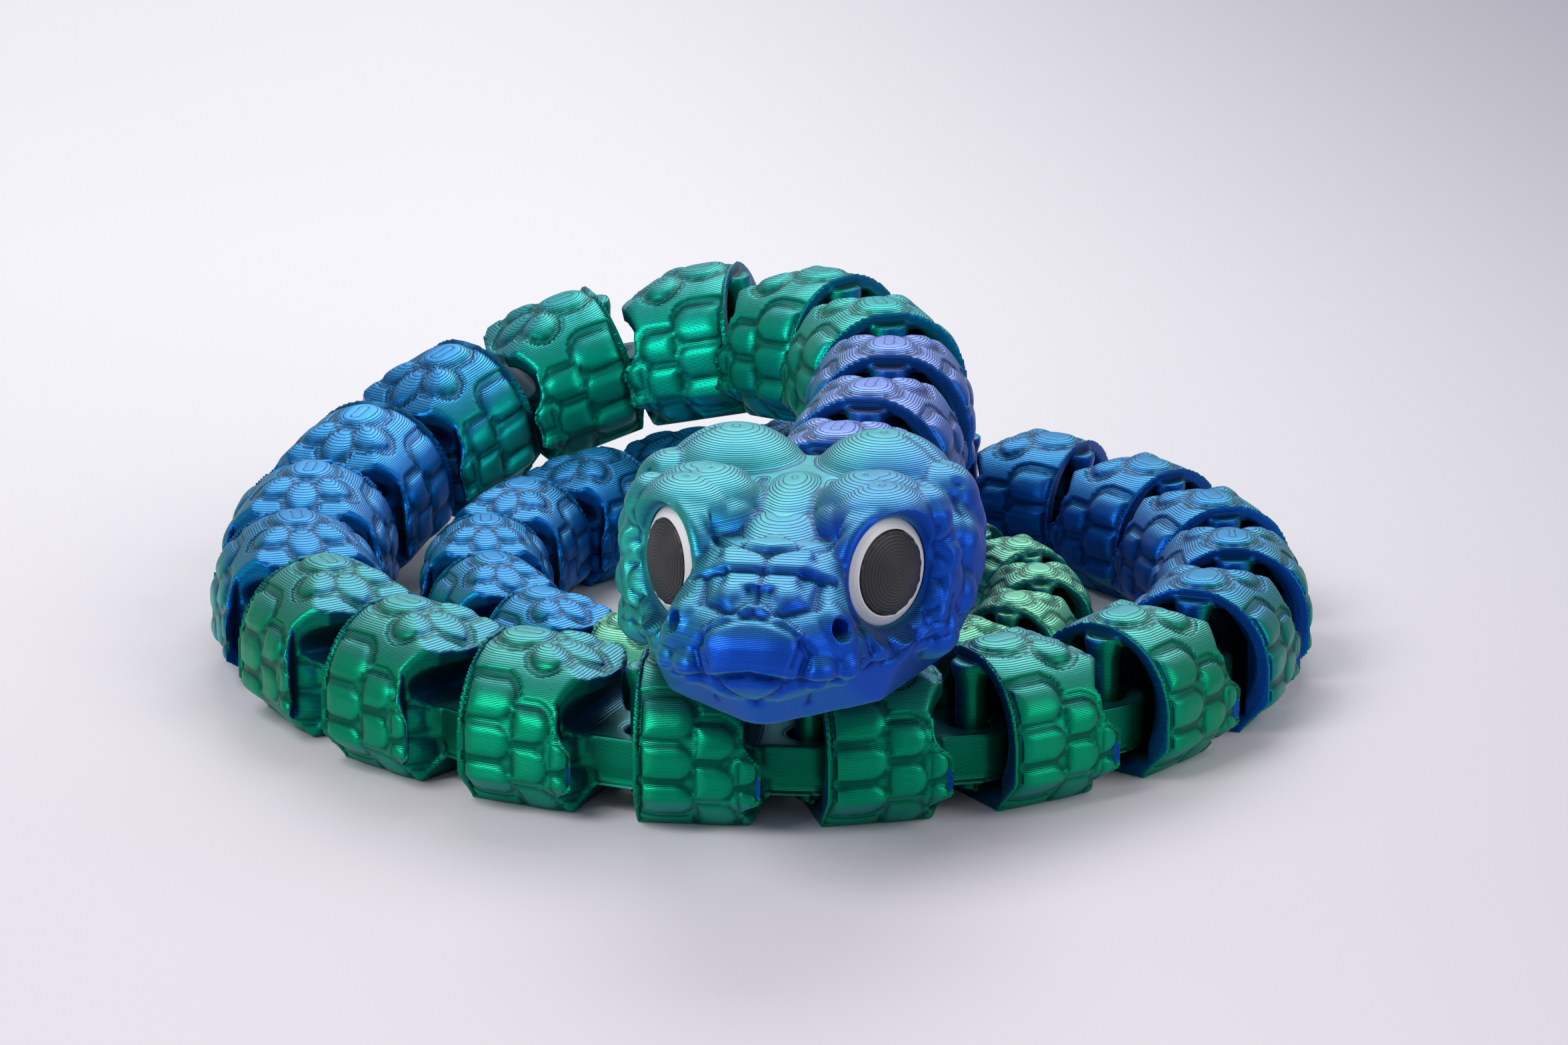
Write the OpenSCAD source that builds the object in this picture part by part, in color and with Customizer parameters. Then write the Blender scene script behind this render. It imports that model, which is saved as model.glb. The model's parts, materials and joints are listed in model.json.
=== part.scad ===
// Articulated snake toy, printed in place: a coiled chain of scaled links with a large domed head.
// Millimetres, +Z up. The origin is on the floor under the post of the root link, at the front
// of the coil, and +X runs towards the tail there.

/* [Chain] */
// Number of body links between the head and the tail tip
links = 42; // [37:1:43]
// Distance from a link's post to the next one's
pitch = 21.3; // [20.8:0.1:22.5]
// Link that holds the origin, counted from the head
root_link = 15; // [12:1:18]
// First link that is smaller than the one before it
taper_from = 17; // [15:1:25]
// Size of the last link as a share of the first one's
tail_scale = 0.57; // [0.5:0.01:0.6]
// Bend at which neighbouring links would touch
max_bend = 35; // [34.5:0.5:37]

/* [Coil] */
// Radius of the outer turn where the body comes down to the floor
coil_r = 72; // [72:0.5:80]
// Space between neighbouring turns
turn_gap = 3.4; // [2.6:0.1:4]
// Extra bend of the neck where it turns inwards
neck_bend = 17.5; // [16.5:0.5:18]
// Links over which the neck turns inwards, to either side of the middle
neck_reach = 3.5; // [3:0.1:3.6]
// Links over which the neck climbs, to either side of the middle
climb_reach = 3.8; // [3.7:0.1:4]
// Space between the raised neck and head and the turns below them
rest_gap = 0.5; // [0.4:0.1:3]

/* [Link] */
// Width over the shell's sides
link_w = 23.2; // [22:0.1:24]
// Height over the arch
link_h = 21; // [20:0.1:22]
// Width of the flat that lies on the floor
flat_w = 14.6; // [13:0.1:16]
// Height at which the lower chamfer meets the side
side_z = 4.6; // [4:0.1:5]
// How far the rim stands in front of the post's axis
rim_set = 0.5; // [0.2:0.1:0.8]
// Thickness of the raised scales
scale_t = 0.4; // [0.2:0.05:0.5]
// Groove between neighbouring scales
scale_gap = 0.8; // [0.6:0.1:1.2]
// Length of the tail tip
tip_l = 27; // [24:0.5:30]

/* [Joint] */
// Diameter of the post
post_d = 4.2; // [3.8:0.1:4.4]
// Gap between the post and the eye around it
post_gap = 0.6; // [0.55:0.05:0.65]
// Wall of the eye
eye_wall = 2.8; // [2.4:0.1:2.9]
// Height of the eye
eye_h = 6.8; // [6.4:0.1:7]
// Height of the eye's middle over the link's underside
eye_z = 7; // [6.9:0.1:7.2]
// Floor under the socket
floor_t = 2.5; // [2:0.1:2.6]
// Roof over the socket
roof_t = 3.2; // [2.8:0.1:3.6]
// Room between a link's tail end and the next link's rim
end_gap = 0.7; // [0.7:0.1:1.2]

/* [Head] */
// Width over the cheeks
head_w = 47.5; // [46:0.5:50]
// Length from the neck joint to the snout
head_len = 62; // [60:0.5:66]
// Height over the rear domes
head_h = 27; // [26:0.5:29]
// Bend between the head and the first link
head_bend = -4; // [-8:1:4]
// Diameter of an eye
eye_d = 14; // [13:0.2:14.6]
// Radius of the domed face of an eye
eye_curve = 11; // [9:0.5:14]
// Depth to which an eye is set into the head
eye_depth = 3; // [2:0.2:4]
// Diameter of a pupil
pupil_d = 10.8; // [10:0.2:11.4]
// Depth to which a pupil is set into its eye
pupil_depth = 1.5; // [1:0.1:2]
// Angle between the way the snout points and the way an eye looks
gaze = 54; // [50:1:58]
// Glue gap around the eyes and pupils
glue_gap = 0.15; // [0.1:0.05:0.3]
// Width of the groove between the lips
lip_gap = 0.8; // [0.5:0.1:1.2]
// Diameter of a nostril
nostril_d = 2.6; // [2:0.2:3.2]

/* [Hidden] */
$fn = 48;
deep = 2 * link_w;
post_r = post_d / 2;
eye_r = post_r + post_gap + eye_wall;
arch_r = link_w / 2;
arch_z = link_h - arch_r;
// The eye's neck swings into the socket by this much at the widest bend
swing = (rim_set + eye_r * sin(max_bend)) / cos(max_bend);
socket_r = sqrt(pow(eye_r, 2) + pow(swing, 2)) + post_gap;
roof_z = link_h - roof_t;
flare_r = post_r + 0.6;
flare_h = 2;
eye_low = eye_z - eye_h / 2;
eye_top = eye_z + eye_h / 2;
half_w = head_w / 2;
snout_r = 6;
snout_f = head_len - snout_r;
// The rim and scales of the next link swing round its post within this radius
sweep_r = arch_r + scale_t + end_gap;
wall_x = pitch - sqrt(pow(sweep_r, 2) - pow(arch_r, 2));
heel_x = wall_x - 2;
notch_r = 2.9;
notch_x = pitch - 4.8;
beak_w = 3;
beak_x = pitch - 4.3;
beak_z = eye_top + 2 * notch_r - 0.2;
beak_drop = 3.2;
scale_row = 5.4;
low_row = 4.4;

// How far the tail end stops before the next post at a distance y from the middle
function tail_room(y) = (rim_set + end_gap + y * sin(max_bend)) / cos(max_bend);

// 1 in the middle of a bump, easing to 0 at its ends
function bump(t) = abs(t) < 1 ? pow(cos(90 * t), 2) : 0;

// Size of link i as a share of a full link
function size_at(i) =
    i < taper_from ? 1 : 1 - (1 - tail_scale) * (i - taper_from + 1) / (links - taper_from + 1);

climb_mid = 7.2;
turn_mid = 6.5;
rise = link_h + scale_t + rest_gap;
climb_angle = asin(rise / (pitch * climb_reach));

// How steeply link i climbs towards the head
function climb_at(i) = climb_angle * bump((i - climb_mid) / climb_reach);

// Radius that the coil has once its turns have gone round by h degrees
function coil_radius(h) = coil_r - (link_w + turn_gap) * h / 360;

// Bend at post i, after the body has turned by h degrees
function bend_at(i, h) =
    2 * asin(pitch * size_at(i) / 2 / coil_radius(max(0, h - neck_turn))) * min(1, max(0, i - 1) / 4)
    + neck_bend * bump((i - turn_mid) / neck_reach);
neck_turn = 180;

function direction(h, climb) = [cos(climb) * cos(h), cos(climb) * sin(h), -sin(climb)];

// [place of the joint, heading] of link i, followed from the head
function chain_at(i) =
    i == 1
    ? [[0, 0, 0], 0]
    : let (
        before = chain_at(i - 1),
        h = before[1],
        step = pitch * size_at(i - 1) * direction(h, climb_at(i - 1)),
        drop = eye_z * (size_at(i - 1) - size_at(i))
    )
    [before[0] + step - [0, 0, drop], h + bend_at(i, h)];

CHAIN = [for (i = [1:links + 1]) chain_at(i)];
root = CHAIN[root_link - 1];
LINK_NAMES = [for (i = [1:links]) str("link_", i < 10 ? "0" : "", i)];

// Puts a piece that is drawn around its own post where link i stands in the coil
module in_coil(i) {
    at = CHAIN[i - 1];
    rotate([0, 0, -root[1]])
        translate(at[0] - root[0] + [0, 0, eye_z])
            rotate([0, 0, at[1]])
                rotate([0, climb_at(i), 0])
                    scale(size_at(i))
                        translate([0, 0, -eye_z])
                            children();
}

// Puts the head where it stands, from the first link's place
module at_head() {
    in_coil(1)
        rotate([0, 0, -head_bend])
            children();
}

// Arched section with a flat underside and chamfered lower edges, grown outwards by t
module arch_section(t = 0) {
    translate([0, arch_z])
        circle(arch_r + t);
    polygon([
        [-flat_w / 2, 0],
        [flat_w / 2, 0],
        [arch_r + t, side_z],
        [arch_r + t, arch_z],
        [-arch_r - t, arch_z],
        [-arch_r - t, side_z]
    ]);
}

// Plan outline: walls that end in a cup round the next link's swing, and between them
// a tapered end with the beak. The scales' outline ends a little before the shell's.
module plan_outline(t = 0) {
    full = arch_r + t;
    short = t / 8;
    side_x = pitch - tail_room(full) - short;
    neck_x = pitch - tail_room(eye_r) - short;
    difference() {
        translate([-rim_set, -full])
            square([pitch, 2 * full]);
        translate([pitch, 0])
            circle(sweep_r + short);
    }
    polygon([
        [-rim_set, -full],
        [side_x, -full],
        [neck_x, -eye_r],
        [beak_x, -beak_w / 2],
        [beak_x, beak_w / 2],
        [neck_x, eye_r],
        [side_x, full],
        [-rim_set, full]
    ]);
}

// Side outline: flat underside, raised tail end, notch and beak
module side_outline(t = 0) {
    crest_x = pitch * 0.36;
    difference() {
        polygon([
            [-rim_set, 0],
            [heel_x, 0],
            [notch_x, eye_low],
            [notch_x, eye_top],
            [beak_x, beak_z],
            [beak_x, link_h - beak_drop + t],
            [crest_x, link_h + t],
            [-rim_set, link_h + t]
        ]);
        translate([notch_x, eye_top + notch_r - 0.2])
            circle(notch_r);
    }
}

// Shell of a link as the meeting of its section, plan and side outlines
module link_shell(t = 0) {
    intersection() {
        translate([-rim_set, 0, 0])
            rotate([90, 0, 90])
                linear_extrude(pitch)
                    arch_section(t);
        linear_extrude(link_h + scale_t)
            plan_outline(t);
        translate([0, deep / 2, 0])
            rotate([90, 0, 0])
                linear_extrude(deep)
                    side_outline(t);
    }
}

// Room around the post for the eye of the link in front, as a turned body
module socket() {
    shoulder_z = eye_top + 3;
    rotate_extrude()
        polygon([
            [0, floor_t],
            [socket_r, floor_t],
            [socket_r, shoulder_z],
            [socket_r * 0.62, roof_z],
            [0, roof_z]
        ]);
}

// Funnel that opens the rim's face towards the socket
module funnel() {
    mouth_z = arch_z + 0.6;
    mouth_r = min(arch_r - 2.2, arch_z);
    translate([-rim_set - 0.01, 0, mouth_z])
        rotate([0, 90, 0])
            cylinder(h = socket_r, r1 = mouth_r, r2 = 2);
}

// Post that joins the socket's floor and roof, flared at the top
module post() {
    rotate_extrude()
        polygon([
            [0, floor_t - 1],
            [post_r, floor_t - 1],
            [post_r, roof_z - flare_h],
            [flare_r, roof_z],
            [flare_r, roof_z + 1.2],
            [0, roof_z + 1.2]
        ]);
}

// Neck and eye that reach into the next link's socket
module eye_arm() {
    root_x = pitch - tail_room(eye_r) - 2;
    difference() {
        union() {
            translate([pitch, 0, eye_low])
                cylinder(h = eye_h, r = eye_r);
            translate([root_x, -eye_r, eye_low])
                cube([pitch - root_x, 2 * eye_r, eye_h]);
        }
        translate([pitch, 0, eye_low - 0.01])
            eye_bore();
    }
}

// Bore of the eye, countersunk at both ends so that a climbing neighbour may tilt
module eye_bore() {
    bore_r = post_r + post_gap;
    sink = 0.6;
    h = eye_h + 0.02;
    cylinder(h = h, r = bore_r);
    cylinder(h = sink, r1 = bore_r + sink, r2 = bore_r);
    translate([0, 0, h - sink])
        cylinder(h = sink, r1 = bore_r, r2 = bore_r + sink);
}

// Scale of length l and height h seen from the side, straight at the rim and round behind
module scale_outline(x, z, l, h) {
    translate([x, z - h / 2])
        square([l - h / 2, h]);
    translate([x + l - h / 2, z])
        circle(h / 2);
}

// Scales of both sides seen from the side: three at the rim, and smaller ones behind them
module side_scales() {
    h = scale_row - scale_gap;
    end_x = wall_x - 0.25;
    end_l = 2.8;
    for (k = [0:2])
        scale_outline(scale_gap - rim_set, low_row + k * scale_row, 7, h);
    for (k = [-1:1])
        scale_outline(7.6, low_row + (k + 0.5) * scale_row, 5, h - 0.2);
    for (k = [0:1])
        scale_outline(end_x - end_l, low_row + k * (scale_row - 1), end_l, h - 1);
}

// Scales along the top seen from above: a round one, a pair, and a leaf on the beak
module top_scales() {
    leaf_r = 3.9;
    leaf_w = 4.4;
    translate([4.2, 0])
        circle(3.8);
    for (side = [-1, 1])
        translate([9.8, side * 4.2])
            circle(2.6);
    intersection_for (side = [-1, 1])
        translate([beak_x - 4.7, side * (leaf_r - leaf_w / 2)])
            circle(leaf_r);
}

// Raised scales, as the parts of a slightly larger shell that lie within their outlines
module scales() {
    intersection() {
        link_shell(scale_t);
        union() {
            translate([0, deep / 2, 0])
                rotate([90, 0, 0])
                    linear_extrude(deep)
                        side_scales();
            translate([0, 0, arch_z + arch_r * 0.68])
                linear_extrude(link_h)
                    top_scales();
        }
    }
}

// One body link, drawn around its own post
module link_body() {
    difference() {
        union() {
            link_shell();
            scales();
        }
        socket();
        funnel();
    }
    post();
    eye_arm();
}

// Body link number i in its place
module link(i) {
    color(i % 3 == 0 ? "royalblue" : "seagreen")
        in_coil(i)
            link_body();
}

// Pointed arch of length l over a half width or height of w, from two arcs
module pointed_outline(l, w) {
    arc_r = (l * l + w * w) / (2 * w);
    intersection() {
        translate([0, w - arc_r])
            circle(arc_r, $fn = 96);
        translate([0, arc_r - w])
            circle(arc_r, $fn = 96);
        translate([-rim_set, -w])
            square([l - 1.2, 2 * w]);
    }
}

// Tapered tip that ends the tail
module tail_tip() {
    tip_h = 5;
    color("paleturquoise")
        in_coil(links + 1) {
            difference() {
                intersection() {
                    translate([-rim_set, 0, 0])
                        rotate([90, 0, 90])
                            linear_extrude(tip_l)
                                arch_section();
                    linear_extrude(link_h)
                        pointed_outline(tip_l, arch_r);
                    translate([0, deep / 2, tip_h])
                        rotate([90, 0, 0])
                            linear_extrude(deep)
                                pointed_outline(tip_l, link_h - tip_h);
                }
                socket();
                funnel();
            }
            post();
        }
}

// Ball of radius r, f in front of the neck joint, y to the left and z up
module blob(f, y, z, r) {
    translate([-f, y, z])
        sphere(r, $fn = 28);
}

// The same on both sides of the head
module twin_blobs(f, y, z, r) {
    blob(f, y, z, r);
    blob(f, -y, z, r);
}

// Skull behind the eyes, wide at the cheeks
module skull() {
    cheek_r = 10;
    hull() {
        twin_blobs(head_len * 0.36, half_w - cheek_r, 13, cheek_r);
        twin_blobs(head_len * 0.26, half_w - 17.8, head_h - 13, 9);
        twin_blobs(head_len * 0.17, half_w - 19, 9, 7.2);
        twin_blobs(head_len * 0.5, half_w - 15.8, head_h - 12.2, 8);
    }
}

// Upper jaw from the cheeks to the blunt snout, grown outwards by t
module muzzle(t = 0) {
    hull() {
        twin_blobs(head_len * 0.5, half_w - 8.2, 12.5, 6.5 + t);
        twin_blobs(head_len * 0.74, 4.8, head_h - 12.7, 6 + t);
        twin_blobs(head_len - 9.5, 7.2, 10.5, 5.8 + t);
        twin_blobs(snout_f, 2.4, 10, snout_r + t);
    }
}

// Where the lower jaw is rounded: [f, y, radius at the lips, radius at the underside]
JAW = [
    [head_len - 11, 0, 9.5, 3.5],
    [head_len * 0.66, 9.5, 8.5, 4.5],
    [head_len * 0.36, half_w - 9, 8.5, 4.5],
    [head_len * 0.2, 5, 7, 4.5]
];
lip_z = 9;

// Lower jaw with a flat underside and a rounded chin
module lower_jaw() {
    hull()
        for (side = [-1, 1], at = JAW)
            translate([-at[0], side * at[1], 0])
                cylinder(h = lip_z, r1 = at[3], r2 = at[2], $fn = 28);
}

// Groove between the lips, rising towards the snout
module lip_groove() {
    translate([0, 0, lip_z - lip_gap])
        linear_extrude(lip_gap)
            difference() {
                translate([-head_len, -half_w])
                    square([head_len * 0.75, head_w]);
                hull()
                    for (side = [-1, 1], at = JAW)
                        translate([-at[0], side * at[1]])
                            circle(at[2] - lip_gap, $fn = 28);
            }
}

// Four round domes on top of the head and the scales behind them
module domes() {
    twin_blobs(head_len * 0.26, half_w - 14.2, head_h - 11, 11);
    twin_blobs(head_len * 0.51, half_w - 12.4, head_h - 8.9, 8.2);
    twin_blobs(head_len * 0.31, half_w - 7, 16, 6.6);
}

// Scales along the lips and on the nose
module lip_scales() {
    for (k = [0:3])
        twin_blobs(
            head_len * (0.83 - 0.095 * k),
            half_w - 13.8 + 2.7 * k - 0.1 * k * k,
            10.4 - 0.5 * k,
            4.2
        );
    twin_blobs(head_len * 0.85, 3.6, head_h - 13.2, 4);
}

// Plate of half width w and length l with its point towards the neck
module plate(w, l) {
    linear_extrude(head_h)
        polygon([
            [l / 2, 0],
            [l * 0.05, w],
            [-l / 2, w * 0.68],
            [-l / 2, -w * 0.68],
            [l * 0.05, -w]
        ]);
}

// Raised plates on the snout and on the forehead
module face_plates() {
    plate_t = 0.7;
    intersection() {
        muzzle(plate_t);
        union() {
            translate([-snout_f, 0, 10])
                rotate([0, -50, 0])
                    plate(6.6, 9.6);
            translate([-head_len * 0.74, 0, head_h - 12.7])
                rotate([0, -24, 0])
                    plate(5.8, 12.4);
        }
    }
}

// Puts what looks along +X where the face of an eye meets the head on side 1 or -1
module at_eye(side) {
    translate([-head_len * 0.65, side * (half_w - 10.4), head_h - 10.9])
        rotate([0, 0, 180 - side * gaze])
            rotate([0, -3, 0])
                children();
}

// Round pocket for an eye, opening outwards like a bowl
module eye_socket(side) {
    pocket_r = eye_d / 2 + glue_gap;
    at_eye(side)
        rotate([0, 90, 0]) {
            translate([0, 0, -eye_depth - glue_gap])
                cylinder(h = eye_depth + eye_d, r = pocket_r);
            cylinder(h = eye_d, r1 = pocket_r, r2 = pocket_r + 0.8 * eye_d);
        }
}

// Small scales around the outer rim of an eye socket
module socket_scales(side) {
    at_eye(side)
        for (k = [-1:2])
            rotate([side * 31 * k, 0, 0])
                translate([0, -side * (eye_d / 2 + 2.8), 0])
                    sphere(2.9, $fn = 28);
}

module nostril(side) {
    translate([-(head_len - 9.5), side * 8, 12.4])
        rotate([0, 76, 180 - side * 52])
            cylinder(h = 8, d = nostril_d);
}

// What has to stay free so that the first link can swing behind the head
module swing_room() {
    wide = 2 * head_w;
    for (side = [-1, 1])
        translate([-tail_room(0), 0, -1])
            rotate([0, 0, side * max_bend])
                translate([0, side > 0 ? 0 : -wide, 0])
                    cube([wide, wide, 2 * head_h]);
}

// Head with its sockets, nostrils and neck eye
module head() {
    color("cornflowerblue")
        at_head() {
            difference() {
                union() {
                    skull();
                    muzzle();
                    lower_jaw();
                    domes();
                    lip_scales();
                    face_plates();
                    for (side = [-1, 1])
                        socket_scales(side);
                }
                for (side = [-1, 1]) {
                    eye_socket(side);
                    nostril(side);
                }
                lip_groove();
                swing_room();
                translate([0, 0, -head_h])
                    cube([3 * head_len, 2 * head_w, 2 * head_h], center = true);
            }
            translate([-pitch, 0, 0])
                eye_arm();
        }
}

// How far the dome of an eye stands out from its edge at a radius r
function dome_at(r) = sqrt(pow(eye_curve, 2) - r * r) - sqrt(pow(eye_curve, 2) - pow(eye_d / 2, 2));

// Half section of the dome over radius r, from height low up
module dome_section(r, low) {
    intersection() {
        translate([0, -sqrt(pow(eye_curve, 2) - pow(eye_d / 2, 2))])
            circle(eye_curve);
        translate([0, low])
            square([r, 2 * eye_d]);
    }
}

// White domed eye with a round seat for its pupil
module eye_disc(side) {
    seat = dome_at(pupil_d / 2) - pupil_depth;
    color("white")
        at_head()
            at_eye(side)
                rotate([0, 90, 0])
                    rotate_extrude()
                        difference() {
                            dome_section(eye_d / 2, -eye_depth);
                            translate([-1, seat])
                                square([1 + pupil_d / 2 + glue_gap, eye_d]);
                        }
}

// Dark pupil with the same dome as its eye
module pupil(side) {
    seat = dome_at(pupil_d / 2) - pupil_depth;
    color("dimgray")
        at_head()
            at_eye(side)
                rotate([0, 90, 0])
                    rotate_extrude()
                        dome_section(pupil_d / 2, seat + glue_gap);
}

module eye_left() { eye_disc(1); }
module eye_right() { eye_disc(-1); }
module pupil_left() { pupil(1); }
module pupil_right() { pupil(-1); }

head();
eye_left();
eye_right();
pupil_left();
pupil_right();
for (i = [1:links])
    link(i);
tail_tip();
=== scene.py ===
"""Looks of an articulated snake toy, printed in place from two-colour silk filament.

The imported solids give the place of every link, the head, the eyes and the tail tip. Each of them
is replaced by a finer piece of the same size in the same place: links with domed scales, a
sculpted head and ringed pupils, all with the fine layers of the print.
"""

from __future__ import annotations

import json
import logging
import math
from collections.abc import Callable
from dataclasses import dataclass, field
from enum import Enum

import bmesh
import bpy
import numpy as np
from bmesh.types import BMesh
from bpy.types import Material, Mesh, Node, NodeSocket, NodeTree, Object
from mathutils import Matrix, Vector

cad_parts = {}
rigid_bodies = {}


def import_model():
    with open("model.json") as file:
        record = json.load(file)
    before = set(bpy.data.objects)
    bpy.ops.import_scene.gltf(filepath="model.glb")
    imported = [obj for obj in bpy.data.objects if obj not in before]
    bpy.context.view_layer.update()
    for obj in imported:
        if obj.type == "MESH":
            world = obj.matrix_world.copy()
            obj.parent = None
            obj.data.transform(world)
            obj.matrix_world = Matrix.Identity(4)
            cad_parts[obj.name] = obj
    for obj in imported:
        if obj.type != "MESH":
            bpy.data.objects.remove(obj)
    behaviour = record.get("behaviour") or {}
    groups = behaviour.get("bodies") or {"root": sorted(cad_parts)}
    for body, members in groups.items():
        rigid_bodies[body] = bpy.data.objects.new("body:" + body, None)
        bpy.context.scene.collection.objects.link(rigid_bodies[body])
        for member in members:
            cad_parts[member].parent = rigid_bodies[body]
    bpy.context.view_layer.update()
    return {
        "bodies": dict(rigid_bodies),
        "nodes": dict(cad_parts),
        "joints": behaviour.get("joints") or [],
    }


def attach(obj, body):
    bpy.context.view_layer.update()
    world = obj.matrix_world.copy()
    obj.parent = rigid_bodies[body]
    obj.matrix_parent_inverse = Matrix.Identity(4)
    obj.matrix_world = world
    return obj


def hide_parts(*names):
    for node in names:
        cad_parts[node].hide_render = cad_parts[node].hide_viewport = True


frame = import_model()

log = logging.getLogger("snake")

Rows = np.ndarray
Point = tuple[float, float, float]
Colour = tuple[float, float, float]

MM = 0.001
LAYER = 0.2  # height of a printed layer, in millimetres
WELD = 1e-7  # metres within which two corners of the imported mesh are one
POLE_WELD = 1e-4  # millimetres within which two corners of a turned solid are one
FAR = 99.0  # millimetres, further than any part is long
Z_TO_X = Matrix.Rotation(math.radians(90), 4, "Y")


class Grade(Enum):
    """How finely a link is meshed, as the size of a voxel in millimetres."""

    NEAR = 0.34
    MIDDLE = 0.42
    HIDDEN = 0.55


# Numbers and masks


def smooth(low: float, high: float, t: Rows) -> Rows:
    """Eases the numbers t from 0 where they are low to 1 where they are high."""
    s = np.clip((t - low) / (high - low), 0, 1)
    return s * s * (3 - 2 * s)


def rounded_box(u: Rows, v: Rows, half_u: float, half_v: float, corner: float) -> Rows:
    """Signed distance to a box with rounded corners around the origin, negative within the box."""
    a = np.abs(u) - half_u + corner
    b = np.abs(v) - half_v + corner
    outside = np.hypot(np.maximum(a, 0), np.maximum(b, 0))
    return outside + np.minimum(np.maximum(a, b), 0) - corner


def mesh_rows(mesh: Mesh) -> tuple[Rows, Rows]:
    """Places and normals of a mesh's vertices, three numbers each."""
    count = len(mesh.vertices)
    co = np.zeros(count * 3)
    mesh.vertices.foreach_get("co", co)
    normal = np.zeros(count * 3)
    mesh.vertex_normals.foreach_get("vector", normal)
    return co.reshape(-1, 3), normal.reshape(-1, 3)


def set_rows(mesh: Mesh, co: Rows) -> None:
    """Puts a mesh's vertices at the given places."""
    mesh.vertices.foreach_set("co", co.astype(np.float32).ravel())
    mesh.update()


def cavity(mesh: Mesh) -> Rows:
    """How deep each vertex lies below the vertices around it, in the mesh's own units."""
    co, normal = mesh_rows(mesh)
    ends = np.zeros(len(mesh.edges) * 2, dtype=np.int32)
    mesh.edges.foreach_get("vertices", ends)
    a, b = ends.reshape(-1, 2).T
    count = np.maximum(np.bincount(ends, minlength=len(co)), 1)
    level = co.copy()
    for _ in range(2):
        total = [
            np.bincount(a, level[b, k], len(co)) + np.bincount(b, level[a, k], len(co))
            for k in range(3)
        ]
        level = np.stack(total, -1) / count[:, None]
    return ((level - co) * normal).sum(1)


def moved(co: Rows, matrix: Matrix) -> Rows:
    """Places moved by a matrix."""
    m = np.array(matrix)
    return co @ m[:3, :3].T + m[:3, 3]


def set_mask(mesh: Mesh, name: str, values: Rows) -> None:
    """Keeps one number a vertex, for a material to read."""
    layer = mesh.attributes.new(name, "FLOAT", "POINT")
    layer.data.foreach_set("value", values.astype(np.float32))


def set_place(mesh: Mesh, name: str, values: Rows) -> None:
    """Keeps three numbers a vertex, for a material to read."""
    layer = mesh.attributes.new(name, "FLOAT_VECTOR", "POINT")
    layer.data.foreach_set("vector", values.astype(np.float32).ravel())


# Where the parts stand


@dataclass(frozen=True)
class Stand:
    """Frame of one printed part: millimetres around its own post to the toy's frame."""

    matrix: Matrix
    share: float


@dataclass
class Chain:
    """Where every part of the toy stands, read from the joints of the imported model."""

    pitch: float = 21.3
    eye_z: float = 7.0
    posts: dict[int, tuple[Vector, Vector]] = field(default_factory=dict)

    def __post_init__(self) -> None:
        """Collects the place and the axis of each post, counted from the head."""
        for joint in frame["joints"]:
            ends = [self.number(joint[end]) for end in ("parent", "child")]
            axis = Vector(joint["axis"])
            if ends[1] > ends[0]:
                axis = -axis
            self.posts[max(ends)] = (Vector(joint["pos_m"]), axis.normalized())

    @property
    def tail(self) -> int:
        """Number of the tail tip."""
        return max(self.posts)

    @staticmethod
    def number(body: str) -> int:
        """Place of a body in the chain: 0 for the head, then the links, then the tail tip."""
        if body == "head_body":
            return 0
        if body == "tail_body":
            return sum(name.startswith("link_") for name in frame["bodies"]) + 1
        return int(body.split("_")[1])

    def stand_at(self, i: int, ahead: Vector, share: float) -> Stand:
        """Frame of the part whose post is number i.

        Args:
            i: Number of the post.
            ahead: Direction towards the tail.
            share: Size of the part as a share of a full link.
        """
        place, up = self.posts[i]
        x = (ahead - up * ahead.dot(up)).normalized()
        y = up.cross(x)
        turn = Matrix((x, y, up)).transposed().to_4x4()
        low = place - up * self.eye_z * share * MM
        return Stand(Matrix.Translation(low) @ turn @ Matrix.Scale(share * MM, 4), share)

    def share(self, i: int) -> float:
        """Size of link i as a share of a full link."""
        place, up = self.posts[i]
        step = self.posts[i + 1][0] - place
        return (step - up * step.dot(up)).length / (self.pitch * MM)

    def link(self, i: int) -> Stand:
        """Frame of link i."""
        return self.stand_at(i, self.posts[i + 1][0] - self.posts[i][0], self.share(i))

    def tip(self) -> Stand:
        """Frame of the tail tip, which points away from its post."""
        i = self.tail
        co, _ = mesh_rows(frame["nodes"]["tail_tip"].data)
        reach = np.linalg.norm(co - np.array(self.posts[i][0]), axis=1)
        far = Vector(co[reach > 0.98 * reach.max()].mean(0))
        share = 2 * self.share(i - 1) - self.share(i - 2)
        return self.stand_at(i, far - self.posts[i][0], share)

    def head(self) -> Stand:
        """Frame of the head, which looks from the first post to between the eyes."""
        eyes = [frame["nodes"][name].data for name in ("eye_left", "eye_right")]
        left, right = (mesh_rows(mesh)[0].mean(0) for mesh in eyes)
        middle = Vector((left + right) / 2)
        return self.stand_at(1, self.posts[1][0] - middle, 1.0)


# Solids


def shown(name: str, data: object) -> Object:
    """Makes an object of its data and puts it in the scene."""
    made = bpy.data.objects.new(name, data)
    bpy.context.scene.collection.objects.link(made)
    return made


def mesh_of(name: str, form: BMesh) -> Mesh:
    """Makes a mesh of a bmesh and frees the bmesh."""
    mesh = bpy.data.meshes.new(name)
    form.to_mesh(mesh)
    form.free()
    return mesh


def new_object(name: str, form: BMesh) -> Object:
    """Makes an object of a bmesh."""
    return shown(name, mesh_of(name, form))


def settled(thing: Object) -> Object:
    """Applies an object's modifiers to its mesh."""
    graph = bpy.context.evaluated_depsgraph_get()
    mesh = bpy.data.meshes.new_from_object(thing.evaluated_get(graph))
    thing.modifiers.clear()
    old = thing.data
    thing.data = mesh
    bpy.data.meshes.remove(old)
    return thing


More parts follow.
